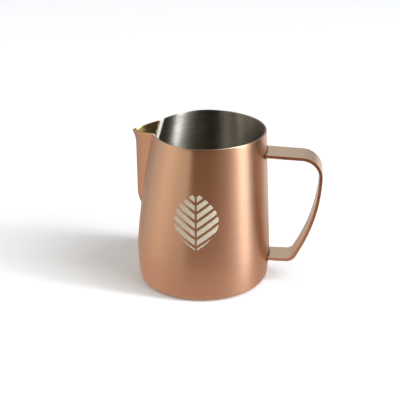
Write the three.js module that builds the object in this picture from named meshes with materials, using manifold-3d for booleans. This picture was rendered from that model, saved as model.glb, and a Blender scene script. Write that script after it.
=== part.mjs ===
// A barista's milk frothing jug: a pinched sheet steel body with a V spout seamed into its front wall and a
// bent strap handle welded on behind. Millimetres, +Z up. The origin is the centre of the flat base, the
// handle points along +X and the spout along -X, and the jug is the same on both sides of the XZ plane.

import * as THREE from "three";
import { mergeVertices } from "three/addons/utils/BufferGeometryUtils.js";
import Module from "manifold-3d";

const wasm = await Module();
wasm.setup();

// ---- Driving sizes -------------------------------------------------------------------------------------

// Body
const height = 100; // base to rim
const bellyRadius = 43; // widest outside radius
const bellyHeight = 23.5; // where the wall is widest
const footRadius = 42.1; // outside radius just above the bottom corner
const cornerRadius = 4; // outside radius of the bottom corner
const rimRadius = 39.6; // outside radius of the rim, behind
const wall = 1; // sheet thickness of body and spout
const floorThickness = 1;

// Front: the front half of the wall is drawn in on its way up, towards the spout
const frontDepth = 7.2; // how far the rim is drawn in, in front
const frontStart = 24; // height where the drawing-in begins
const frontCurve = 1.35; // how it grows on the way up: 1 would be even
const frontFlatness = 0.2; // how much the drawn front is flatter at the sides than an ellipse

// Spout
const keelInset = 0.2; // the keel stands this far inside the belly's widest radius
const keelRadius = 3; // rounding of the spout's nose
const noseAngle = THREE.MathUtils.degToRad(56); // between a side and the middle plane, at the nose
const sideRadius = 41; // the sides curve in by this radius behind the nose
const spoutFootWidth = 0.55; // width of the spout's section at its foot, as a share of the section at the rim
const prowTop = 58; // height where the keel starts to curve in
const prowRadius = 22; // radius of that curve
const lipHeight = 8; // height of the turned-out lip at the nose
const lipReach = 2.1; // how far the lip turns out
const lipDip = 2.2; // how far the lip's point lies below the rim

// Handle
const strapThickness = 1.9;
const strapTopWidth = 18.5;
const strapFootWidth = 16.5;
const strapEdge = 0.4; // rounding of the strap's long edges
const topDrop = 12.8; // rim to the strap's upper face, at the wall
const topSlope = THREE.MathUtils.degToRad(2.5); // the upper arm falls away by this
const footLift = 14.4; // base to the strap's lower face
const gripReach = 32.2; // belly to the outside of the grip
const footReach = 15.6; // belly to the outer corner of the lower arm
const gripBreak = 52.5; // rim to the corner of the grip's long curve
const topBend = 13.5; // outside radii of the three bends
const gripBend = 108;
const footBend = 7.5;

// Joining
const fit = 0.3; // gap where one piece is cut to another's wall
const clearance = 0.1; // gap between a weld and what it covers
const beadRadius = 0.35; // weld beads round the handle's ends
const seamWidth = 2.2; // dressed weld inside each spout seam
const seamThickness = 0.5;

// Fineness of the curved faces
const roundSteps = 96; // round the body
const noseSteps = 4; // round the spout's nose, each side
const sideSteps = 6; // along each side of the spout
const spoutSteps = 18; // up the spout
const bendSteps = 10; // along each bend of the handle
const beadSides = 8;

// ---- The jug's outer form ------------------------------------------------------------------------------

const { clamp, lerp, smoothstep } = THREE.MathUtils;

// Outside radius of the round wall, behind the flanks, at a height above the bottom corner.
function roundRadius(z) {
  if (z < bellyHeight) {
    const share = (bellyHeight - z) / (bellyHeight - cornerRadius);
    return bellyRadius - (bellyRadius - footRadius) * share * share;
  }
  return lerp(bellyRadius, rimRadius, (z - bellyHeight) / (height - bellyHeight));
}

// How far the front of the wall is drawn in at a height.
function frontInset(z) {
  return frontDepth * Math.max(0, (z - frontStart) / (height - frontStart)) ** frontCurve;
}

// Outside radius of the body wall. Angles are measured from the spout's direction. Behind the jug's axis the
// wall is round; in front of it the wall follows a superellipse that is shorter than the circle.
function bodyRadius(angle, z) {
  const round = roundRadius(z);
  const ahead = Math.cos(angle);
  if (ahead <= 0) return round;
  const inset = frontInset(z);
  const power = 2 - frontFlatness * (inset / frontDepth);
  const sum = (ahead / (round - inset)) ** power + (Math.abs(Math.sin(angle)) / round) ** power;
  return sum ** (-1 / power);
}

// Outside distance of the keel from the jug's axis, before the lip is turned out.
function keelDistance(z) {
  const below = clamp((prowTop - z) / prowRadius, 0, 1);
  return bellyRadius - keelInset - prowRadius * (1 - Math.sqrt(1 - below * below));
}

// Height where the spout's section starts, safely below the place where the keel leaves the wall.
const spoutFoot = prowTop - 0.8 * prowRadius;

// One half of the spout's section, from the nose back: how far behind the keel and how far off the middle
// plane each point lies, and how close to the nose it is. `inset` moves it in, square to the sheet.
function spoutSection(z, inset) {
  const width = lerp(spoutFootWidth, 1, (z - spoutFoot) / (height - spoutFoot));
  const tail = THREE.MathUtils.degToRad(15);
  const nose = new THREE.Vector2(keelRadius * (1 - Math.sin(noseAngle)), keelRadius * Math.cos(noseAngle));
  const points = [];
  for (let i = 0; i < noseSteps + sideSteps; i++) {
    const onNose = i < noseSteps;
    const lean = onNose
      ? lerp(Math.PI / 2, noseAngle, i / noseSteps)
      : lerp(noseAngle, tail, (i - noseSteps) / (sideSteps - 1));
    const behind = onNose
      ? keelRadius * (1 - Math.sin(lean))
      : nose.x + sideRadius * (Math.sin(noseAngle) - Math.sin(lean));
    const off = onNose
      ? keelRadius * Math.cos(lean)
      : nose.y + sideRadius * (Math.cos(lean) - Math.cos(noseAngle));
    points.push({
      behind: behind + inset * Math.sin(lean),
      off: off * width - inset * Math.cos(lean),
      nearness: 1 - smoothstep(behind, 0, rimRadius / 3),
    });
  }
  return points;
}

// Half angle, seen from the jug's axis, of the inside joint between spout and body at a height.
function seamAngle(z) {
  const points = spoutSection(z, wall);
  for (let i = 1; i < points.length; i++) {
    const ends = [points[i - 1], points[i]].map(({ behind, off }) => {
      const x = keelDistance(z) - behind;
      const angle = Math.atan2(off, x);
      return { angle, stands: Math.hypot(x, off) - bodyRadius(angle, z) + wall };
    });
    if (ends[0].stands > 0 && ends[1].stands <= 0) {
      const share = ends[0].stands / (ends[0].stands - ends[1].stands);
      return lerp(ends[0].angle, ends[1].angle, share);
    }
  }
  return 0;
}

// A point at an angle from the spout, a distance from the axis and a height.
function polar(angle, radius, z) {
  return new THREE.Vector3(-radius * Math.cos(angle), -radius * Math.sin(angle), z);
}

// ---- Making solids -------------------------------------------------------------------------------------

// A closed skin over a stack of equal rings of points. It wraps from the last ring to the first when
// `looped`, and otherwise both ends are closed by a fan round the ring's middle.
function skin(rings, looped = false) {
  const count = rings[0].length;
  const points = rings.flat();
  const faces = [];
  const last = looped ? rings.length : rings.length - 1;
  for (let i = 0; i < last; i++) {
    const here = i * count;
    const next = ((i + 1) % rings.length) * count;
    for (let j = 0; j < count; j++) {
      const k = (j + 1) % count;
      faces.push(here + j, here + k, next + k, here + j, next + k, next + j);
    }
  }
  if (!looped) {
    for (const [start, flip] of [[0, true], [(rings.length - 1) * count, false]]) {
      const middle = new THREE.Vector3();
      for (let j = 0; j < count; j++) middle.addScaledVector(points[start + j], 1 / count);
      points.push(middle);
      const centre = points.length - 1;
      for (let j = 0; j < count; j++) {
        const k = (j + 1) % count;
        faces.push(centre, start + (flip ? k : j), start + (flip ? j : k));
      }
    }
  }
  return new THREE.BufferGeometry().setFromPoints(points).setIndex(faces);
}

function solid(geometry) {
  const bare = geometry.clone().deleteAttribute("normal").deleteAttribute("uv");
  const merged = mergeVertices(bare, 1e-4);
  const made = new wasm.Manifold(
    new wasm.Mesh({
      numProp: 3,
      vertProperties: merged.attributes.position.array,
      triVerts: new Uint32Array(merged.index.array),
    }),
  );
  return made;
}

function geometryOf(made) {
  const mesh = made.getMesh();
  const positions = new Float32Array(mesh.numVert * 3);
  for (let i = 0; i < mesh.numVert; i++) {
    for (let axis = 0; axis < 3; axis++) {
      positions[i * 3 + axis] = mesh.vertProperties[i * mesh.numProp + axis];
    }
  }
  const geometry = new THREE.BufferGeometry();
  geometry.setAttribute("position", new THREE.BufferAttribute(positions, 3));
  geometry.setIndex(new THREE.BufferAttribute(mesh.triVerts, 1));
  geometry.computeVertexNormals();
  return geometry;
}

// ---- Body ----------------------------------------------------------------------------------------------

// Heights of the rings up the wall: close together at the corner and the belly, wider apart above.
function wallHeights(from) {
  const heights = [];
  for (let i = 0; i <= 5; i++) heights.push(lerp(from, bellyHeight, i / 5));
  for (let i = 1; i <= 12; i++) heights.push(lerp(bellyHeight, height, i / 12));
  return heights;
}

function bodyRing(z, inset, radiusAt = bodyRadius) {
  return Array.from({ length: roundSteps }, (_, i) => {
    const angle = (i * 2 * Math.PI) / roundSteps;
    const signed = angle > Math.PI ? angle - 2 * Math.PI : angle;
    return polar(angle, radiusAt(signed, z) - inset, z);
  });
}

// Rings round the bottom corner, from the flat of the base up to the wall.
function cornerRings(radius, inset, bottom) {
  return Array.from({ length: 5 }, (_, i) => {
    const turn = (i / 5) * (Math.PI / 2);
    const flat = footRadius - inset - radius;
    const ring = bodyRing(cornerRadius, 0, () => flat + radius * Math.sin(turn));
    for (const point of ring) point.z = bottom + radius * (1 - Math.cos(turn));
    return ring;
  });
}

function bodyShell() {
  const innerCorner = cornerRadius - wall;
  const outside = wallHeights(cornerRadius).map((z) => bodyRing(z, 0));
  const inside = wallHeights(floorThickness + innerCorner).map((z) => bodyRing(z, wall));
  const full = solid(
    skin([
      ...cornerRings(cornerRadius, 0, 0),
      ...outside,
      ...inside.reverse(),
      ...cornerRings(innerCorner, wall, floorThickness).reverse(),
    ]),
  );
  return full.subtract(solid(spoutBlock(wall, 2 * wall)));
}

// The body's outer form without its hollow, grown by a margin all round and carried on above the rim.
function bodyForm(margin) {
  const rings = wallHeights(cornerRadius).map((z) => bodyRing(z, -margin));
  const top = bodyRing(height, -margin);
  for (const point of top) point.z += 2 * wall;
  return skin([...rings, top]);
}

// ---- Spout ---------------------------------------------------------------------------------------------

// The block that the spout's section fills, set in by `inset` and carried on above the lip by `above`.
function spoutBlock(inset, above) {
  const rings = [];
  for (let i = 0; i <= spoutSteps; i++) rings.push(spoutRing(i / spoutSteps, inset));
  if (above > 0) {
    const top = spoutRing(1, inset);
    for (const point of top) point.z += above + lipDip;
    rings.push(top);
  }
  return skin(rings);
}

function spoutRing(up, inset) {
  const level = lerp(spoutFoot, height, up);
  const half = spoutSection(level, inset).map(({ behind, off, nearness }) => {
    const z = lerp(spoutFoot, height - lipDip * nearness, up);
    const turned = clamp((z - (height - lipDip - lipHeight)) / lipHeight, 0, 1) ** 2;
    return new THREE.Vector3(behind - keelDistance(z) - lipReach * turned * nearness, off, z);
  });
  const mirrored = half.slice(1).map((point) => new THREE.Vector3(point.x, -point.y, point.z));
  return [...half.reverse(), ...mirrored];
}

function spout() {
  return solid(spoutBlock(0, 0)).subtract(solid(spoutBlock(wall, wall))).subtract(solid(bodyForm(fit)));
}

// The dressed weld inside one seam: a low strip that covers the joint. `side` is 1 or -1.
function spoutSeam(side) {
  const steps = 20;
  const foot = prowFoot();
  const rings = [];
  for (let i = 0; i <= steps; i++) {
    const z = lerp(foot, height - 1, i / steps);
    const half = seamAngle(z);
    const outward = polar(side * half, 1, 0);
    const across = new THREE.Vector3(0, 0, 1).cross(outward);
    const inward = wall + clearance + seamThickness / 2;
    const centre = polar(side * half, bodyRadius(half, z) - inward, z);
    rings.push(
      Array.from({ length: beadSides }, (_, k) => {
        const turn = ((k + 0.5) * 2 * Math.PI) / beadSides;
        return centre
          .clone()
          .addScaledVector(outward, (seamThickness / 2) * Math.cos(turn))
          .addScaledVector(across, (seamWidth / 2) * Math.sin(turn));
      }),
    );
  }
  return skin(rings);
}

// Height above which the two seams are far enough apart for their welds to lie side by side.
function prowFoot() {
  let z = height;
  while (z > spoutFoot && seamAngle(z) * bodyRadius(0, z) > seamWidth / 2 + clearance) z -= 0.5;
  return z + 0.5;
}

// ---- Handle --------------------------------------------------------------------------------------------

// Points of a path through corners, each rounded by its own radius, moved inwards by `inset`. A radius too
// large for the straights beside its corner is cut down to what fits.
function roundedPath(corners, radii, inset) {
  const heading = (i) => corners[i + 1].clone().sub(corners[i]).normalize();
  const side = (d) => new THREE.Vector2(d.y, -d.x);
  const points = [corners[0].clone().addScaledVector(side(heading(0)), inset)];
  let used = 0;
  for (let i = 1; i < corners.length - 1; i++) {
    const before = heading(i - 1);
    const after = heading(i);
    const turn = Math.acos(clamp(before.dot(after), -1, 1));
    const room = Math.min(
      corners[i].distanceTo(corners[i - 1]) - used,
      corners[i].distanceTo(corners[i + 1]) * 0.8,
    );
    const outer = Math.min(radii[i - 1], room / Math.tan(turn / 2));
    used = outer * Math.tan(turn / 2);
    const inward = side(before).add(side(after)).normalize();
    const centre = corners[i].clone().addScaledVector(inward, outer / Math.cos(turn / 2));
    const from = side(before).angle() + Math.PI;
    for (let j = 0; j <= bendSteps; j++) {
      const at = from - (turn * j) / bendSteps;
      const arm = new THREE.Vector2(Math.cos(at), Math.sin(at));
      points.push(centre.clone().addScaledVector(arm, outer - inset));
    }
  }
  const last = corners.length - 1;
  points.push(corners[last].clone().addScaledVector(side(heading(last - 1)), inset));
  return points;
}

// Outer corners of the bent strap in the XZ plane, from inside the wall round to inside the wall.
function strapCorners() {
  const start = rimRadius - 4 * wall;
  const grip = bellyRadius + gripReach;
  const top = height - topDrop;
  return [
    new THREE.Vector2(start, top),
    new THREE.Vector2(grip, top - (grip - start) * Math.tan(topSlope)),
    new THREE.Vector2(grip, height - gripBreak),
    new THREE.Vector2(bellyRadius + footReach, footLift),
    new THREE.Vector2(start, footLift),
  ];
}

function strapWidth(z) {
  return lerp(strapFootWidth, strapTopWidth, (z - footLift) / (height - topDrop - footLift));
}

function strap() {
  const bends = [topBend, gripBend, footBend];
  const outer = roundedPath(strapCorners(), bends, 0);
  const inner = roundedPath(strapCorners(), bends, strapThickness);
  const outline = new THREE.Shape([...outer, ...inner.reverse()]);
  const geometry = new THREE.ExtrudeGeometry(outline, {
    depth: strapTopWidth - 2 * strapEdge,
    bevelThickness: strapEdge,
    bevelSize: strapEdge,
    bevelOffset: -strapEdge,
    bevelSegments: 2,
    steps: 1,
  });
  geometry.translate(0, 0, strapEdge - strapTopWidth / 2);
  geometry.rotateX(Math.PI / 2);
  const position = geometry.attributes.position;
  for (let i = 0; i < position.count; i++) {
    position.setY(i, (position.getY(i) * strapWidth(position.getZ(i))) / strapTopWidth);
  }
  return geometry;
}

function handle() {
  return solid(strap()).subtract(solid(bodyForm(fit)));
}

// A weld bead in the corner between the wall and the strap, all round the strap's end. `middle` is the
// height of the strap's middle at the wall, and `fall` the slope of the arm there.
function handleBead(middle, fall) {
  const off = clearance + beadRadius;
  const halfWidth = strapWidth(middle) / 2 + off;
  const halfThick = strapThickness / 2 + off;
  const corners = [
    [halfWidth - off, halfThick - off, 0],
    [-halfWidth + off, halfThick - off, 1],
    [-halfWidth + off, -halfThick + off, 2],
    [halfWidth - off, -halfThick + off, 3],
  ];
  const loop = [];
  for (const [y, up, quarter] of corners) {
    for (let i = 0; i <= 4; i++) {
      const at = (quarter + i / 4) * (Math.PI / 2);
      loop.push({ y: y + off * Math.cos(at), up: up + off * Math.sin(at) });
    }
    if (quarter % 2 === 0) {
      const across = y > 0 ? -1 : 1;
      for (let i = 1; i < 6; i++) loop.push({ y: y + across * (i / 6) * 2 * Math.abs(y), up: up - across * off });
    }
  }
  const centres = loop.map(({ y, up }) => {
    const nearWall = roundRadius(middle + up) + off;
    const x = Math.sqrt(nearWall * nearWall - y * y);
    return new THREE.Vector3(x, y, middle + up - (x - roundRadius(middle)) * Math.tan(fall));
  });
  const rings = centres.map((centre, i) => {
    const before = centres[(i + centres.length - 1) % centres.length];
    const after = centres[(i + 1) % centres.length];
    const along = after.clone().sub(before).normalize();
    const out = new THREE.Vector3(centre.x, centre.y, 0).normalize();
    const sideways = along.clone().cross(out).normalize();
    const outward = sideways.clone().cross(along);
    return Array.from({ length: beadSides }, (_, k) => {
      const turn = ((k + 0.5) * 2 * Math.PI) / beadSides;
      return centre
        .clone()
        .addScaledVector(outward, beadRadius * Math.cos(turn))
        .addScaledVector(sideways, beadRadius * Math.sin(turn));
    });
  });
  return skin(rings, true);
}

// ---- Assembly ------------------------------------------------------------------------------------------

const copper = { color: 0xb98363, roughness: 0.32, metalness: 1 };
const steel = { color: 0xc9c6bf, roughness: 0.3, metalness: 1 };

const jug = new THREE.Group();

function place(name, geometry, finish) {
  const mesh = new THREE.Mesh(geometry, new THREE.MeshStandardMaterial(finish));
  mesh.name = name;
  jug.add(mesh);
}

const topFall = (roundRadius(height - topDrop) - rimRadius + 4 * wall) * Math.tan(topSlope);
const upperEnd = height - topDrop - topFall - strapThickness / 2;
const lowerEnd = footLift + strapThickness / 2;

place("body_shell", geometryOf(bodyShell()), copper);
place("spout", geometryOf(spout()), copper);
place("spout_seam_left", spoutSeam(1), steel);
place("spout_seam_right", spoutSeam(-1), steel);
place("handle", geometryOf(handle()), copper);
place("handle_weld_upper", handleBead(upperEnd, topSlope), copper);
place("handle_weld_lower", handleBead(lowerEnd, 0), copper);

export default jug;
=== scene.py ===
import math

import bmesh
import bpy
from mathutils import Matrix, Vector


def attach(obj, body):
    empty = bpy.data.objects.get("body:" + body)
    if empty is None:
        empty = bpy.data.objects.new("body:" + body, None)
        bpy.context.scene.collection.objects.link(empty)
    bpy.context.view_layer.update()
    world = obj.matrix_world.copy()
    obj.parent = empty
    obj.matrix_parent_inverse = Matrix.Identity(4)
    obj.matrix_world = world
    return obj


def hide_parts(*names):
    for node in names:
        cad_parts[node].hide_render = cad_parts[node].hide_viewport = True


# A barista's milk frothing jug: a drawn steel body, a pressed V spout seamed into its front and a bent strap
# handle. The handle is along +X, the spout along -X, and the jug stands on Z = 0. Sizes in the dictionaries
# are millimetres and turns are degrees, except in the studio, where lengths are metres.

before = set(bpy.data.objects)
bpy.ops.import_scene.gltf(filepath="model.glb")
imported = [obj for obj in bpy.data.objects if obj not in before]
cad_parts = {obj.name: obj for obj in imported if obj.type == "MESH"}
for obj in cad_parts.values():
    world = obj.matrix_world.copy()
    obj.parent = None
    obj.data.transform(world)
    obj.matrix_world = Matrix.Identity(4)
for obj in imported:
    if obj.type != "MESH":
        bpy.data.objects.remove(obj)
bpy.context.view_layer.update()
mm = 0.001
sharpAngle = 60             # an edge that turns more than this gets rounded


def deselectAll():
    if bpy.context.mode != "OBJECT":
        bpy.ops.object.mode_set(mode="OBJECT")
    bpy.ops.object.select_all(action="DESELECT")


def newPiece(name):
    piece = bpy.context.object
    piece.name = name
    piece.data.name = name
    return piece


def useOnly(piece):
    deselectAll()
    piece.select_set(True)
    bpy.context.view_layer.objects.active = piece


def editAll():
    bpy.ops.object.mode_set(mode="EDIT")
    bpy.ops.mesh.select_mode(type="VERT")
    bpy.ops.mesh.select_all(action="SELECT")


def settle(piece):
    # the place goes into the mesh, so the object sits at the origin
    useOnly(piece)
    bpy.ops.object.transform_apply(location=True, rotation=True, scale=True)


def addModifier(piece, kind, **settings):
    useOnly(piece)
    modifier = piece.modifiers.new(kind.title(), kind)
    for key, value in settings.items():
        setattr(modifier, key, value)
    bpy.ops.object.modifier_apply(modifier=modifier.name)


def roundEdges(piece, width, segments):
    addModifier(piece, "BEVEL", width=width * mm, segments=segments, limit_method="ANGLE",
                angle_limit=math.radians(sharpAngle))


def cutWith(piece, tool):
    addModifier(piece, "BOOLEAN", operation="DIFFERENCE", object=tool, solver="EXACT")
    bpy.data.objects.remove(tool)


def raiseRing(dz, scale=(1, 1, 1), shift=0):
    # scale is about the jug's axis, shift runs along X
    bpy.ops.mesh.extrude_region_move(TRANSFORM_OT_translate={"value": (shift, 0, dz)})
    if scale != (1, 1, 1):
        bpy.ops.transform.resize(value=scale, center_override=(0, 0, 0))


def smoothByAngle(piece, degrees):
    useOnly(piece)
    bpy.ops.object.shade_smooth_by_angle(angle=math.radians(degrees))


# the jug's form, which the body and the trimming tools follow
jug = {
    "height": 100,
    "bellyRadius": 43,
    "bellyHeight": 23.5,
    "footRadius": 42.1,
    "cornerRadius": 4,
    "rimRadius": 39.6,
    "sheet": 1.0,
    "frontDepth": 7.2,      # how far the rim is drawn in towards the spout
    "frontStart": 24,
    "frontCurve": 1.35,
    "frontFlatness": 0.2,
}


def roundRadius(z):
    if z < jug["bellyHeight"]:
        share = (jug["bellyHeight"] - z) / (jug["bellyHeight"] - jug["cornerRadius"])
        return jug["bellyRadius"] - (jug["bellyRadius"] - jug["footRadius"]) * min(share, 1) ** 2
    share = (z - jug["bellyHeight"]) / (jug["height"] - jug["bellyHeight"])
    return jug["bellyRadius"] + (jug["rimRadius"] - jug["bellyRadius"]) * share


def drawnIn(x, y, z):
    # how far the wall stands inside its round form here: the front half is drawn in on its way up
    distance = math.hypot(x, y)
    if x >= 0 or z <= jug["frontStart"] or distance < 1e-6:
        return 0.0
    full = roundRadius(z)
    rise = (z - jug["frontStart"]) / (jug["height"] - jug["frontStart"])
    inset = jug["frontDepth"] * rise ** jug["frontCurve"]
    power = 2 - jug["frontFlatness"] * inset / jug["frontDepth"]
    ahead = (-x / distance / (full - inset)) ** power
    aside = (abs(y) / distance / full) ** power
    return full - (ahead + aside) ** (-1 / power)


def drawFrontIn(piece):
    for vert in piece.data.vertices:
        x, y, z = vert.co / mm
        distance = math.hypot(x, y)
        if distance > 1e-6:
            keep = 1 - drawnIn(x, y, z) / distance
            vert.co.x *= keep
            vert.co.y *= keep


def wallHeights(top, count):
    low = jug["cornerRadius"]
    return [low + (top - low) * i / count for i in range(count + 1)]


def cornerLevels(inset, steps):
    # the rounded foot, from the flat bottom up to just below the wall
    corner = jug["cornerRadius"] - inset
    flat = jug["footRadius"] - jug["cornerRadius"]
    turns = [math.pi / 2 * i / steps for i in range(steps)]
    return [(flat + corner * math.sin(turn), inset + corner * (1 - math.cos(turn))) for turn in turns]


def loftRound(name, levels, around):
    # a disc's edge is drawn up through the levels of (radius, height) and closed on the axis
    deselectAll()
    radius, height = levels[0]
    bpy.ops.mesh.primitive_circle_add(
        vertices=around, radius=radius * mm, fill_type="TRIFAN", location=(0, 0, height * mm))
    piece = newPiece(name)
    settle(piece)
    editAll()
    bpy.ops.mesh.select_mode(type="EDGE")
    bpy.ops.mesh.select_all(action="DESELECT")
    mesh = bmesh.from_edit_mesh(piece.data)
    for edge in mesh.edges:
        if edge.is_boundary:
            edge.select_set(True)
    bmesh.update_edit_mesh(piece.data)
    for nextRadius, nextHeight in levels[1:]:
        wider = nextRadius / radius
        raiseRing((nextHeight - height) * mm, (wider, wider, 1))
        radius, height = nextRadius, nextHeight
    bpy.ops.mesh.extrude_region_move(TRANSFORM_OT_translate={"value": (0, 0, 0)})
    bpy.ops.mesh.merge(type="CENTER")
    bpy.ops.mesh.select_all(action="SELECT")
    bpy.ops.mesh.remove_doubles(threshold=1e-7)
    bpy.ops.mesh.normals_make_consistent(inside=False)
    bpy.ops.object.mode_set(mode="OBJECT")
    drawFrontIn(piece)
    return piece


body = {
    "around": 256,
    "wallSteps": 48,
    "cornerSteps": 8,
    "rimRounding": 0.32,
    "rimSteps": 4,
    "floorTilt": 0.02,      # below the corner, a face that looks up more than this is inside
    "smoothAngle": 35,
}


def buildBody():
    top, sheet, rounding = jug["height"], jug["sheet"], body["rimRounding"]
    heights = wallHeights(top - rounding, body["wallSteps"])
    outer = cornerLevels(0, body["cornerSteps"]) + [(roundRadius(z), z) for z in heights]
    inner = cornerLevels(sheet, body["cornerSteps"]) + [(roundRadius(z) - sheet, z) for z in heights]
    edge = []
    for i in range(1, body["rimSteps"] + 1):
        turn = math.pi / 2 * i / body["rimSteps"]
        edge.append((rounding * (1 - math.cos(turn)), top - rounding * (1 - math.sin(turn))))
    rim = [(roundRadius(top) - back, z) for back, z in edge]
    rim += [(roundRadius(top) - sheet + back, z) for back, z in reversed(edge)]
    return loftRound("bodyShell", outer + rim + inner[::-1], body["around"])


trim = {                    # the two tools that cut body and spout to fit each other
    "cornerSteps": 6,
    "above": 4,             # how far they run on above the rim
    "under": 0.06,          # how far the spout's sheet reaches under the body's surface
}


def buildTrimForm():
    under = trim["under"]
    heights = wallHeights(jug["height"] + trim["above"], body["wallSteps"])
    levels = cornerLevels(under, trim["cornerSteps"]) + [(roundRadius(z) - under, z) for z in heights]
    return loftRound("trimForm", levels, body["around"])


spout = {
    "keelInset": 0.2,       # inside the belly's widest radius
    "noseRadius": 3,
    "noseAngle": 56,
    "noseSteps": 8,
    "sideRadius": 41,
    "sideEnd": 15,
    "sideSteps": 22,
    "footWidth": 0.55,      # share of the width at the rim
    "prowTop": 58,
    "prowRadius": 22,
    "prowShare": 0.8,       # of the prow's radius, from its top down to the toe
    "lipHeight": 8,
    "lipReach": 2.08,
    "lipDip": 2.2,
    "lipLength": 13.2,      # from the nose back to where the lip runs out
    "levels": 56,
    "edgeRounding": 0.22,
    "edgeSegments": 3,
    "between": -20,         # an X between the two sides
    "smoothAngle": 40,
}
spoutFoot = spout["prowTop"] - spout["prowShare"] * spout["prowRadius"]


def keelDistance(z):
    below = min(max((spout["prowTop"] - z) / spout["prowRadius"], 0), 1)
    back = spout["prowRadius"] * (1 - math.sqrt(1 - below * below))
    return jug["bellyRadius"] - spout["keelInset"] - back


def spoutWidth(z):
    share = (z - spoutFoot) / (jug["height"] - spoutFoot)
    return spout["footWidth"] + (1 - spout["footWidth"]) * share


def makeSpoutSkin(name, inset, filled, carriedOn=0):
    # one vertex on the keel is spun into the nose and the side, mirrored, and drawn up level by level
    nose = (spout["noseRadius"] - inset) * mm
    side = (spout["sideRadius"] - inset) * mm
    keel = (keelDistance(spoutFoot) - inset) * mm
    deselectAll()
    bpy.ops.mesh.primitive_plane_add(size=mm, location=(-keel, 0, spoutFoot * mm))
    piece = newPiece(name)
    settle(piece)
    editAll()
    bpy.ops.mesh.merge(type="CENTER")
    bpy.ops.mesh.select_all(action="SELECT")
    noseCentre = Vector((nose - keel, 0, spoutFoot * mm))
    noseTurn = math.radians(90 - spout["noseAngle"])
    bpy.ops.mesh.spin(steps=spout["noseSteps"], angle=noseTurn, center=noseCentre, axis=(0, 0, 1))
    outward = Vector((-math.cos(noseTurn), math.sin(noseTurn), 0))
    sideCentre = noseCentre - outward * (side - nose)
    sideTurn = math.radians(spout["noseAngle"] - spout["sideEnd"])
    bpy.ops.mesh.spin(steps=spout["sideSteps"], angle=sideTurn, center=sideCentre, axis=(0, 0, 1))
    bpy.ops.object.mode_set(mode="OBJECT")
    addModifier(piece, "MIRROR", use_axis=(False, True, False), merge_threshold=1e-6)
    editAll()
    if filled:
        bpy.ops.mesh.edge_face_add()
    bpy.ops.transform.resize(value=(1, spoutWidth(spoutFoot), 1), center_override=(0, 0, 0))
    z = spoutFoot
    step = (jug["height"] - spoutFoot) / spout["levels"]
    for _ in range(spout["levels"]):
        nextZ = z + step
        shift = (keelDistance(z) - keelDistance(nextZ)) * mm
        raiseRing(step * mm, (1, spoutWidth(nextZ) / spoutWidth(z), 1), shift)
        z = nextZ
    if carriedOn:
        raiseRing(carriedOn * mm)
    bpy.ops.mesh.select_all(action="SELECT")
    bpy.ops.mesh.normals_make_consistent(inside=False)
    bpy.ops.object.mode_set(mode="OBJECT")
    turnLip(piece, inset)
    return piece


def turnLip(piece, inset):
    # the lip leans out and its point dips, most at the nose and not at all at the seams
    for vert in piece.data.vertices:
        x, y, z = vert.co / mm
        up = min((z - spoutFoot) / (jug["height"] - spoutFoot), 1)
        behind = (x + keelDistance(z) - inset) / spout["lipLength"]
        behind = min(max(behind, 0), 1)
        nearness = 1 - behind * behind * (3 - 2 * behind)
        z -= spout["lipDip"] * nearness * up
        risen = (z - jug["height"] + spout["lipDip"] + spout["lipHeight"]) / spout["lipHeight"]
        x -= spout["lipReach"] * min(max(risen, 0), 1) ** 2 * nearness
        vert.co = Vector((x, y, z)) * mm


def awayFromSpout(face):
    # positive where a face of the spout looks outwards
    return face.normal.dot(Vector((face.center.x - spout["between"] * mm, face.center.y, 0)))


def buildSpout():
    piece = makeSpoutSkin("spoutSheet", 0, False)
    if sum(awayFromSpout(face) for face in piece.data.polygons) < 0:
        editAll()
        bpy.ops.mesh.flip_normals()
        bpy.ops.object.mode_set(mode="OBJECT")
    addModifier(piece, "SOLIDIFY", thickness=jug["sheet"] * mm, offset=-1)
    roundEdges(piece, spout["edgeRounding"], spout["edgeSegments"])
    cutWith(piece, buildTrimForm())
    for vert in piece.data.vertices:
        vert.co.z = min(vert.co.z, jug["height"] * mm)      # the seams' ends stay level with the rim
    return piece


bodyShell = buildBody()
cutWith(bodyShell, makeSpoutSkin("spoutHollow", jug["sheet"], True, trim["above"]))
print("body shell:", len(bodyShell.data.polygons), "faces")

spoutSheet = buildSpout()
print("spout:", len(spoutSheet.data.polygons), "faces")


strap = {
    "thickness": 1.9,
    "topWidth": 18.5,
    "footWidth": 16.5,
    "start": 35.6,
    "topHeight": 87.2,
    "topSlope": 2.5,
    "gripReach": 75.2,      # outside of the grip from the jug's axis
    "gripCorner": 47.5,
    "footReach": 58.6,
    "footHeight": 14.4,
    "topBend": 13.5,        # outside radii
    "gripBend": 108,
    "footBend": 7.5,
    "bendSteps": 26,
    "straightStep": 6,
    "facesAcross": 10,
    "endZone": 1.5,         # this much of each end is fitted to the wall
    "rooted": 0.35,         # how deep the ends sit in the wall
    "edgeRounding": 0.65,
    "edgeSegments": 5,
    "paintedShadeDown": 0.25,      # an under edge, drawn in painted shade, looks down and sideways at least this much
    "paintedShadeAside": 0.12,
    "edgeShadeAside": 0.55,      # and a side edge, drawn in a darker painted shade, this much sideways
    "smoothAngle": 40,
}


def strapCorners():
    # the outside of the bends' corners as (x, z), from the upper end to the lower one
    start, reach = strap["start"], strap["gripReach"]
    dropped = strap["topHeight"] - (reach - start) * math.tan(math.radians(strap["topSlope"]))
    return [
        Vector((start, strap["topHeight"])),
        Vector((reach, dropped)),
        Vector((reach, strap["gripCorner"])),
        Vector((strap["footReach"], strap["footHeight"])),
        Vector((start, strap["footHeight"])),
    ]


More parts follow.
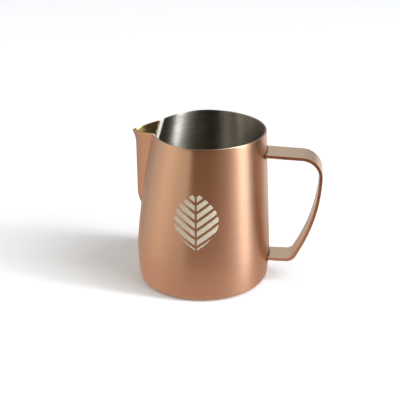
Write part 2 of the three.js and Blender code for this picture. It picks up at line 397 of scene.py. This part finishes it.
def addStrapEnd(corner, inward):
    # the flat bar's end face, across the strap's first straight
    deselectAll()
    bpy.ops.mesh.primitive_grid_add(x_subdivisions=1, y_subdivisions=strap["facesAcross"], size=1)
    piece = newPiece("handleStrap")
    piece.scale = (strap["thickness"] * mm, strap["topWidth"] * mm, 1)
    piece.rotation_euler = (0, math.pi / 2 + math.radians(strap["topSlope"]), 0)
    middle = corner + inward * strap["thickness"] / 2
    piece.location = (middle.x * mm, 0, middle.y * mm)
    settle(piece)
    return piece


def buildHandle():
    # the end face is drawn out along the straights and spun round the bends
    corners = strapCorners()
    bends = [strap["topBend"], strap["gripBend"], strap["footBend"]]
    heading = [(b - a).normalized() for a, b in zip(corners, corners[1:])]
    inward = [Vector((h.y, -h.x)) for h in heading]
    turns = [a.angle(b) for a, b in zip(heading, heading[1:])]
    used = [0] + [radius * math.tan(turn / 2) for radius, turn in zip(bends, turns)] + [0]
    piece = addStrapEnd(corners[0], inward[0])
    editAll()
    bpy.ops.mesh.select_mode(type="FACE")
    for i, direction in enumerate(heading):
        length = (corners[i + 1] - corners[i]).length - used[i] - used[i + 1]
        count = max(1, round(length / strap["straightStep"]))
        for _ in range(count):
            step = direction * length / count * mm
            bpy.ops.mesh.extrude_region_move(TRANSFORM_OT_translate={"value": (step.x, 0, step.y)})
        if i < len(turns):
            centre = corners[i + 1] - direction * used[i + 1] + inward[i] * bends[i]
            bpy.ops.mesh.spin(steps=strap["bendSteps"], angle=-turns[i],
                              center=(centre.x * mm, 0, centre.y * mm), axis=(0, 1, 0))
    bpy.ops.mesh.select_all(action="SELECT")
    bpy.ops.mesh.remove_doubles(threshold=1e-5)
    bpy.ops.mesh.normals_make_consistent(inside=False)
    bpy.ops.object.mode_set(mode="OBJECT")
    fitStrap(piece)
    roundEdges(piece, strap["edgeRounding"], strap["edgeSegments"])
    return piece


def fitStrap(piece):
    # the strap narrows on its way down, and its ends follow the round wall
    wide, narrow = strap["topWidth"], strap["footWidth"]
    for vert in piece.data.vertices:
        x, y, z = vert.co / mm
        share = (z - strap["footHeight"]) / (strap["topHeight"] - strap["footHeight"])
        vert.co.y *= (narrow + (wide - narrow) * share) / wide
        if x < strap["start"] + strap["endZone"]:
            vert.co.x = math.sqrt((roundRadius(z) - strap["rooted"]) ** 2 - (vert.co.y / mm) ** 2) * mm


handleStrap = buildHandle()
print("handle:", len(handleStrap.data.polygons), "faces")


def roundOff(node, name):
    # a weld is the plain bead of the CAD model, joined up and rounded
    useOnly(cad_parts[node])
    bpy.ops.object.duplicate()
    piece = newPiece(name)
    for key in [key for key in piece.keys() if key.startswith("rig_")]:
        del piece[key]
    place = piece.matrix_world.copy()
    piece.parent = None
    piece.matrix_world = place
    useOnly(piece)
    editAll()
    bpy.ops.mesh.remove_doubles(threshold=1e-6)
    bpy.ops.mesh.tris_convert_to_quads()
    bpy.ops.object.mode_set(mode="OBJECT")
    addModifier(piece, "SUBSURF", levels=2, render_levels=2)
    bpy.ops.object.shade_smooth()
    return piece


seams = [
    (roundOff("spout_seam_left", "spoutSeamLeft"), "spout_seam_left", "spout_seam"),
    (roundOff("spout_seam_right", "spoutSeamRight"), "spout_seam_right", "spout_seam"),
]
handleWelds = [
    (roundOff("handle_weld_upper", "handleWeldUpper"), "handle_weld_upper", "handle_weld"),
    (roundOff("handle_weld_lower", "handleWeldLower"), "handle_weld_lower", "handle_weld"),
]
print("welds done")


finish = {
    "copperCoat": "#EBBE9E",
    "bareSteel": "#B9B3A7",
    "strapCoat": "#EAC9AA",
    "strapPaintedUnderShade": "#8A5B42",
    "strapEdge": "#D8A483",
    "spoutCoatPaintedShade": "#DCA88A",
    "groundSteelAndPaintedHighlight": "#E2DED2",
    "goldenTint": "#B8A067",
    "etchedSteel": "#CFC6B2",
    "weldHeat": "#A57A60",
    "tablePaint": "#DBDBDB",
}


def toLinear(hexColor):
    channels = [int(hexColor[i:i + 2], 16) / 255 for i in (1, 3, 5)]
    linear = [c / 12.92 if c <= 0.04045 else ((c + 0.055) / 1.055) ** 2.4 for c in channels]
    return (*linear, 1.0)


def newMaterial(name):
    material = bpy.data.materials.new(name)
    material.use_nodes = True
    material.node_tree.nodes.clear()
    return material


def setMaterials(piece, *materials):
    piece.data.materials.clear()
    for material in materials:
        piece.data.materials.append(material)


def addNode(tree, kind, inputs=None, **settings):
    # an input is a plain value, a socket that feeds it, or a node that feeds it from its first socket in use
    node = tree.nodes.new("ShaderNode" + kind)
    for key, value in settings.items():
        setattr(node, key, value)
    for key, value in (inputs or {}).items():
        if isinstance(value, bpy.types.Node):
            value = next(socket for socket in value.outputs if socket.enabled)
        if isinstance(value, bpy.types.NodeSocket):
            tree.links.new(value, node.inputs[key])
        else:
            node.inputs[key].default_value = value
    return node


streakSpan = (0.32, 0.68)   # the part of the noise that goes from darkest to lightest


def brushedLines(tree, along, across):
    # scratches that run round the jug, as noise squeezed flat in height. Real ones are some 0.05 mm wide and
    # too fine to show, so they are drawn about ten times as coarse
    coords = addNode(tree, "TexCoord").outputs["Object"]
    scale = (1 / (along * mm), 1 / (along * mm), 1 / (across * mm))
    squeezed = addNode(tree, "Mapping", {"Vector": coords, "Scale": scale})
    return addNode(tree, "TexNoise", {"Vector": squeezed, "Scale": 1.0, "Detail": 3.0, "Roughness": 0.6})


def placeInMillimetres(tree):
    coords = addNode(tree, "TexCoord").outputs["Object"]
    scaled = addNode(tree, "VectorMath", {0: coords, "Scale": 1 / mm}, operation="SCALE")
    return addNode(tree, "SeparateXYZ", {0: scaled}).outputs


mark = {                    # a latte-art leaf of chevrons, laser-etched on the left flank
    "middle": 54.5,
    "halfHeight": 19,
    "halfWidth": 14,
    "spacing": 5.6,
    "slope": 0.75,
    "etchedShare": 0.62,
    "stemGap": 0.65,
    "softness": 0.18,
    "color": finish["etchedSteel"],
    "roughness": 0.65,
    "metallic": 0.4,
}


def leafMask(tree):
    x, y, z = placeInMillimetres(tree)
    towards = addNode(tree, "Math", {0: y, 1: -1}, operation="MULTIPLY")
    turn = addNode(tree, "Math", {0: x, 1: towards}, operation="ARCTAN2")
    around = addNode(tree, "Math", {0: turn, 1: roundRadius(mark["middle"])}, operation="MULTIPLY")
    off = addNode(tree, "Math", {0: around}, operation="ABSOLUTE")
    up = addNode(tree, "Math", {0: z, 1: mark["middle"]}, operation="SUBTRACT")
    # the outline is a pair of parabolas that meet at the leaf's two tips
    reach = addNode(tree, "Math", {0: up, 1: mark["halfHeight"]}, operation="DIVIDE")
    squared = addNode(tree, "Math", {0: reach, 1: reach}, operation="MULTIPLY")
    width = addNode(tree, "Math", {0: squared, 1: -mark["halfWidth"], 2: mark["halfWidth"]},
                    operation="MULTIPLY_ADD")
    within = addNode(tree, "Math", {0: width, 1: off}, operation="SUBTRACT")
    # the gaps climb away from the stem on both sides
    climb = addNode(tree, "Math", {0: off, 1: -mark["slope"], 2: up}, operation="MULTIPLY_ADD")
    fromGap = addNode(tree, "Math", {0: climb, 1: mark["spacing"] / 2}, operation="PINGPONG")
    halfGap = mark["spacing"] * (1 - mark["etchedShare"]) / 2
    mask = 1.0
    for distance, edge in ((within, 0), (fromGap, halfGap), (off, mark["stemGap"])):
        part = addNode(tree, "MapRange", {"Value": distance, "From Min": edge - mark["softness"],
                                          "From Max": edge + mark["softness"]},
                       interpolation_type="SMOOTHSTEP")
        mask = addNode(tree, "Math", {0: mask, 1: part}, operation="MULTIPLY")
    return mask


band = {                    # the strip ground smooth beside each crease inside, drawn pale as a painted highlight of the rounded crease
    "low": (60, 3.2),       # height and |Y| of the crease
    "high": (100, 12.2),
    "width": 4.8,
    "softness": 0.5,
    "from": -20,            # X where the strip begins and where it is full
    "full": -22,
    "color": finish["groundSteelAndPaintedHighlight"],
    "roughness": 0.5,
    "metallic": 0.25,
}


def groundStripAndHighlightMask(tree):
    x, y, z = placeInMillimetres(tree)
    (lowZ, lowY), (highZ, highY) = band["low"], band["high"]
    slope = (highY - lowY) / (highZ - lowZ)
    crease = addNode(tree, "Math", {0: z, 1: slope, 2: lowY - lowZ * slope}, operation="MULTIPLY_ADD")
    aside = addNode(tree, "Math", {0: y}, operation="ABSOLUTE")
    off = addNode(tree, "Math", {0: aside, 1: crease}, operation="SUBTRACT")
    near = addNode(tree, "MapRange", {"Value": off, "From Min": band["width"] + band["softness"],
                                      "From Max": band["width"] - band["softness"]},
                   interpolation_type="SMOOTHSTEP")
    front = addNode(tree, "MapRange", {"Value": x, "From Min": band["from"], "From Max": band["full"]},
                    interpolation_type="SMOOTHSTEP")
    return addNode(tree, "Math", {0: near, 1: front}, operation="MULTIPLY")


def metalMaterial(name, hexColor, roughness, anisotropy=0.0, lines=(14, 0.5), colorDepth=0.02,
                  roughDepth=0.01, metallic=1.0, worked=None):
    # worked is a mask and the look that the metal has inside it
    material = newMaterial(name)
    tree = material.node_tree
    base = toLinear(hexColor)[:3]
    darker = (*(c * (1 - colorDepth) for c in base), 1)
    lighter = (*(min(1, c * (1 + colorDepth)) for c in base), 1)
    streak = addNode(tree, "MapRange", {"Value": brushedLines(tree, *lines), "From Min": streakSpan[0],
                                        "From Max": streakSpan[1]}, interpolation_type="SMOOTHSTEP")
    tint = addNode(tree, "Mix", {0: streak, 6: darker, 7: lighter}, data_type="RGBA")
    rough = addNode(tree, "MapRange", {"Value": streak, "To Min": roughness - roughDepth,
                                       "To Max": roughness + roughDepth})
    if worked:
        makeMask, look = worked
        mask = makeMask(tree)
        tint = addNode(tree, "Mix", {0: mask, 6: tint, 7: toLinear(look["color"])}, data_type="RGBA")
        rough = addNode(tree, "Mix", {0: mask, 2: rough, 3: look["roughness"]})
        metallic = addNode(tree, "Mix", {0: mask, 2: metallic, 3: look["metallic"]})
    shader = addNode(tree, "BsdfPrincipled", {"Base Color": tint, "Roughness": rough, "Metallic": metallic})
    if anisotropy:
        # brushed round the jug: a quarter turn from the way round, so that light spreads up and down
        shader.inputs["Anisotropic"].default_value = anisotropy
        shader.inputs["Anisotropic Rotation"].default_value = 0.25
        tangent = addNode(tree, "Tangent", direction_type="RADIAL", axis="Z")
        tree.links.new(tangent.outputs[0], shader.inputs["Tangent"])
    addNode(tree, "OutputMaterial", {"Surface": shader})
    return material


# copper-coloured coat on steel brushed round the body: warm, with soft upright bands of light and shade
copperOnBrushedSteel = metalMaterial("copperCoatOnBrushedSteel", finish["copperCoat"], 0.36, 0.82, (18, 0.5),
                                     0.025, 0.03, worked=(leafMask, mark))
# bare stainless steel brushed round the inside: grey and streaky, with a long upright glare and, by each
# crease, a pale ground strip that is partly painted highlight
brushedSteelInside = metalMaterial("brushedStainlessSteel", finish["bareSteel"], 0.39, 1.0, (11, 0.35),
                                   0.16, 0.06, worked=(groundStripAndHighlightMask, band))
# the same coat on the pressed spout, drawn redder and darker than on the body: painted shade for the spout's
# darker reflections
spoutPaintedShadeCopper = metalMaterial("copperCoatPaintedShadeOnSpout", finish["spoutCoatPaintedShade"], 0.36, 0.82, (18, 0.5),
                            0.025, 0.03)
# the coat's thin end over smooth steel inside the spout: a golden, nearly sharp shine
goldenSteel = metalMaterial("coatedSteelInsideSpout", finish["goldenTint"], 0.2, colorDepth=0.03,
                            roughDepth=0.08)
# coat on the strap's tumbled faces: an even satin, paler than the body and without lines
satinCopper = metalMaterial("satinCopperCoat", finish["strapCoat"], 0.28, lines=(9, 0.8))
# painted shade on the rounded edges below the strap: the same coat drawn as a dark copper line
strapPaintedUnderShade = metalMaterial("copperCoatPaintedShadeUnderStrap", finish["strapPaintedUnderShade"], 0.28, lines=(9, 0.8))
# the strap's side edges: a redder and darker line than its faces, painted shade on the same coat
strapEdge = metalMaterial("copperCoatPaintedShadeOnStrapEdge", finish["strapEdge"], 0.28, lines=(9, 0.8))
# steel ground back over the spout's weld: a pale dull strip, drawn part metal to stay pale in the shade, its
# paleness partly a painted highlight of the crease
groundSeamWithPaintedHighlight = metalMaterial("groundSteelSeamPaintedHighlight", finish["groundSteelAndPaintedHighlight"], 0.5, roughDepth=0.08, metallic=0.25)
# the coated beads at the strap's ends, dull and darkened by the heat
weldMetal = metalMaterial("coatedWeld", finish["weldHeat"], 0.4, colorDepth=0.1, roughDepth=0.08)


def outerShare(co):
    # distance from the axis, less that of the middle of the sheet here: positive on the outside
    x, y, z = co / mm
    return math.hypot(x, y) + drawnIn(x, y, z) - roundRadius(z) + jug["sheet"] / 2


setMaterials(bodyShell, copperOnBrushedSteel, brushedSteelInside)
for face in bodyShell.data.polygons:
    if face.center.z < jug["cornerRadius"] * mm:
        inside = face.normal.z > body["floorTilt"]
    else:
        inside = outerShare(face.center) < 0
    face.material_index = 1 if inside else 0
smoothByAngle(bodyShell, body["smoothAngle"])

# the spout's outside takes the painted-shade copper, and its inside takes the golden coat
setMaterials(spoutSheet, spoutPaintedShadeCopper, goldenSteel)
for face in spoutSheet.data.polygons:
    face.material_index = 0 if awayFromSpout(face) > 0 else 1
smoothByAngle(spoutSheet, spout["smoothAngle"])

setMaterials(handleStrap, satinCopper, strapPaintedUnderShade, strapEdge)
# edges that look down take the painted-shade copper, and side edges take the darker painted-shade edge
# copper
for face in handleStrap.data.polygons:
    sideways = abs(face.normal.y)
    if face.normal.z < -strap["paintedShadeDown"] and sideways > strap["paintedShadeAside"]:
        face.material_index = 1
    elif sideways > strap["edgeShadeAside"]:
        face.material_index = 2
smoothByAngle(handleStrap, strap["smoothAngle"])

for piece, node, slotName in seams:
    setMaterials(piece, groundSeamWithPaintedHighlight)
for piece, node, slotName in handleWelds:
    setMaterials(piece, weldMetal)
print("materials done")

pieces = [
    (bodyShell, "body_shell", "body_shell"),
    (spoutSheet, "spout", "spout"),
    (handleStrap, "handle", "handle"),
] + seams + handleWelds
for piece, node, slotName in pieces:
    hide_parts(node)
    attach(piece, "root")


camera = {
    "turn": 6.5,            # from looking along +Y
    "rise": 23.25,
    "roll": -0.28,
    "distance": 0.5864,
    "target": (0, 0, 0.0506),
    "aimRight": -0.00224,   # the jug stands a little off the view's middle
    "aimUp": 0.00079,
    "lens": 81.75,          # millimetres, as the film is
    "film": 36,
    "near": 0.01,
    "far": 30,
}


def aimedFrom(turn, rise):
    turn, rise = math.radians(turn), math.radians(rise)
    return Vector((math.sin(turn) * math.cos(rise), -math.cos(turn) * math.cos(rise), math.sin(rise)))


def placeCamera():
    away = aimedFrom(camera["turn"], camera["rise"])
    right = Vector((0, 0, 1)).cross(away).normalized()
    up = away.cross(right)
    target = Vector(camera["target"])
    place = target + away * camera["distance"]
    aim = target + right * camera["aimRight"] + up * camera["aimUp"]
    bpy.ops.object.camera_add(location=place)
    cameraObject = bpy.context.object
    facing = (aim - place).to_track_quat("-Z", "Y").to_matrix().to_4x4()
    roll = Matrix.Rotation(math.radians(camera["roll"]), 4, "Z")
    cameraObject.matrix_world = Matrix.Translation(place) @ facing @ roll
    cameraObject.data.lens = camera["lens"]
    cameraObject.data.sensor_width = camera["film"]
    cameraObject.data.clip_start = camera["near"]
    cameraObject.data.clip_end = camera["far"]
    bpy.context.scene.camera = cameraObject


deselectAll()
placeCamera()

# the room round the jug as turns from the camera's side of it, with right positive: first at table height,
# where the body sees it, and then higher up, where the inside does
roomLow = [
    (-180, (0.78, 0.80, 0.80)),
    (-140, (0.36, 0.34, 0.32)),
    (-118, (0.62, 0.61, 0.59)),
    (-104, (0.60, 0.58, 0.54)),
    (-93, (0.78, 0.72, 0.64)),
    (-38, (0.84, 0.79, 0.70)),
    (-25, (0.25, 0.15, 0.10)),
    (16, (0.23, 0.14, 0.095)),
    (40, (0.34, 0.22, 0.155)),
    (54, (0.50, 0.38, 0.30)),
    (66, (0.85, 0.80, 0.76)),
    (84, (0.85, 0.80, 0.76)),
    (97, (0.08, 0.05, 0.035)),
    (117, (0.02, 0.012, 0.01)),
    (128, (0.55, 0.51, 0.48)),
    (145, (0.92, 0.94, 0.95)),
    (180, (0.78, 0.80, 0.80)),
]
roomHigh = [
    (-180, (0.60, 0.61, 0.61)),
    (-125, (0.36, 0.34, 0.30)),
    (-96, (1.0, 0.95, 0.85)),
    (-75, (0.80, 0.76, 0.66)),
    (-58, (0.12, 0.11, 0.08)),
    (-46, (0.02, 0.018, 0.012)),
    (0, (0.02, 0.016, 0.01)),
    (34, (0.06, 0.05, 0.04)),
    (80, (0.20, 0.19, 0.17)),
    (110, (0.10, 0.09, 0.08)),
    (180, (0.60, 0.61, 0.61)),
]
roomChange = (-0.15, 0.12)  # from the low colours to the high ones, as the sine of the height angle
# two upright panels on the right: a faint cool one down low and the lamp above it. Each fades in between the
# first two of its turns and out between the last two. foot and head say where it begins and where it is full
panels = [
    {"turns": (60, 70, 76, 90), "foot": (-0.5, -0.1), "head": (0.5, 0.3),
     "color": (0.93, 1.0, 1.2), "strength": 0.5},
    {"turns": (68, 73, 79, 84), "foot": (0.22, 0.32), "head": (0.97, 0.9),
     "color": (0.97, 1.02, 1.1), "strength": 25.0},
]


def colorsAround(tree, turn, stops):
    # the colour at each turn round the jug, from stops of a turn and a colour
    ramp = addNode(tree, "ValToRGB", {0: turn})
    elements = ramp.color_ramp.elements
    while len(elements) < len(stops):
        elements.new(0.5)
    for element, (angle, color) in zip(elements, stops):
        element.position = angle / 360 + 0.5
        element.color = (*color, 1)
    return ramp.outputs[0]


def buildRoom():
    world = bpy.data.worlds.new("studioRoom")
    bpy.context.scene.world = world
    world.use_nodes = True
    tree = world.node_tree
    tree.nodes.clear()
    x, y, rise = addNode(tree, "SeparateXYZ", {0: addNode(tree, "TexCoord").outputs["Generated"]}).outputs
    towards = addNode(tree, "Math", {0: y, 1: -1}, operation="MULTIPLY")
    angle = addNode(tree, "Math", {0: x, 1: towards}, operation="ARCTAN2")
    share = addNode(tree, "Math", {0: angle, 1: 1 / (2 * math.pi), 2: 0.5 - camera["turn"] / 360},
                    operation="MULTIPLY_ADD")
    turn = addNode(tree, "Math", {0: share}, operation="FRACT")
    above = addNode(tree, "MapRange", {"Value": rise, "From Min": roomChange[0], "From Max": roomChange[1]},
                    interpolation_type="SMOOTHSTEP")
    surround = addNode(tree, "Mix", {0: above, 6: colorsAround(tree, turn, roomLow),
                                     7: colorsAround(tree, turn, roomHigh)}, data_type="RGBA")
    light = addNode(tree, "Background", {"Color": surround})
    dark, full = (0, 0, 0), (1, 1, 1)
    for panel in panels:
        inTurn = colorsAround(tree, turn, list(zip(panel["turns"], (dark, full, full, dark))))
        glow = addNode(tree, "Math", {0: inTurn, 1: panel["strength"]}, operation="MULTIPLY")
        for start, end in (panel["foot"], panel["head"]):
            inHeight = addNode(tree, "MapRange", {"Value": rise, "From Min": start, "From Max": end},
                               interpolation_type="SMOOTHSTEP")
            glow = addNode(tree, "Math", {0: glow, 1: inHeight}, operation="MULTIPLY")
        lit = addNode(tree, "Background", {"Color": (*panel["color"], 1), "Strength": glow})
        light = addNode(tree, "AddShader", {0: light, 1: lit})
    addNode(tree, "OutputWorld", {"Surface": light})


buildRoom()

table = {
    "size": 12,
    "gap": 0.0002,          # below the jug's foot
    "roughness": 0.9,
    "glowRadius": 0.21,
    "glowHeight": 0.0004,
    "glowColor": (0.60, 0.46, 0.40),
    "glowStrength": 0.95,
    "glowFullShare": 0.3,   # of the glow's radius
}


def layFloor():
    bpy.ops.mesh.primitive_plane_add(size=table["size"], location=(0, 0, -table["gap"]))
    floor = newPiece("floor")
    settle(floor)
    material = newMaterial("paleFloor")
    tree = material.node_tree
    paint = addNode(tree, "BsdfPrincipled", {"Base Color": toLinear(finish["tablePaint"]),
                                             "Roughness": table["roughness"]})
    addNode(tree, "OutputMaterial", {"Surface": paint})
    setMaterials(floor, material)
    floor.visible_glossy = False


def layTableGlow():
    # light off the table top that only the metal sees, strongest round the foot
    radius = table["glowRadius"]
    bpy.ops.mesh.primitive_circle_add(vertices=64, radius=radius, fill_type="NGON",
                                      location=(0, 0, table["glowHeight"]))
    disc = newPiece("tableGlow")
    settle(disc)
    material = newMaterial("tableGlow")
    tree = material.node_tree
    coords = addNode(tree, "TexCoord").outputs["Object"]
    outwards = addNode(tree, "VectorMath", {0: coords}, operation="LENGTH").outputs["Value"]
    fade = addNode(tree, "MapRange", {"Value": outwards, "From Min": radius,
                                      "From Max": radius * table["glowFullShare"]},
                   interpolation_type="SMOOTHSTEP")
    glowing = addNode(tree, "Emission", {"Color": (*table["glowColor"], 1),
                                         "Strength": table["glowStrength"]})
    clear = addNode(tree, "BsdfTransparent")
    blend = addNode(tree, "MixShader", {0: fade, 1: clear, 2: glowing})
    addNode(tree, "OutputMaterial", {"Surface": blend})
    setMaterials(disc, material)
    for way in ["visible_camera", "visible_diffuse", "visible_transmission", "visible_shadow"]:
        setattr(disc, way, False)


layFloor()
layTableGlow()

softboxes = [               # turns from the camera's side, right positive. Power is in watts
    {"name": "keySoftbox", "turn": 54, "rise": 24, "distance": 2.2, "size": 1.3, "power": 39},
    {"name": "fillSoftbox", "turn": -40, "rise": 68, "distance": 2.2, "size": 3.5, "power": 40},
]
for softbox in softboxes:
    place = aimedFrom(softbox["turn"] + camera["turn"], softbox["rise"]) * softbox["distance"]
    bpy.ops.object.light_add(type="AREA", location=place)
    lamp = bpy.context.object
    lamp.name = softbox["name"]
    lamp.data.size = softbox["size"]
    lamp.data.energy = softbox["power"]
    lamp.rotation_euler = (Vector(camera["target"]) - place).to_track_quat("-Z", "Y").to_euler()
    lamp.visible_glossy = False

bpy.context.scene.view_settings.view_transform = "Standard"
print("studio done")
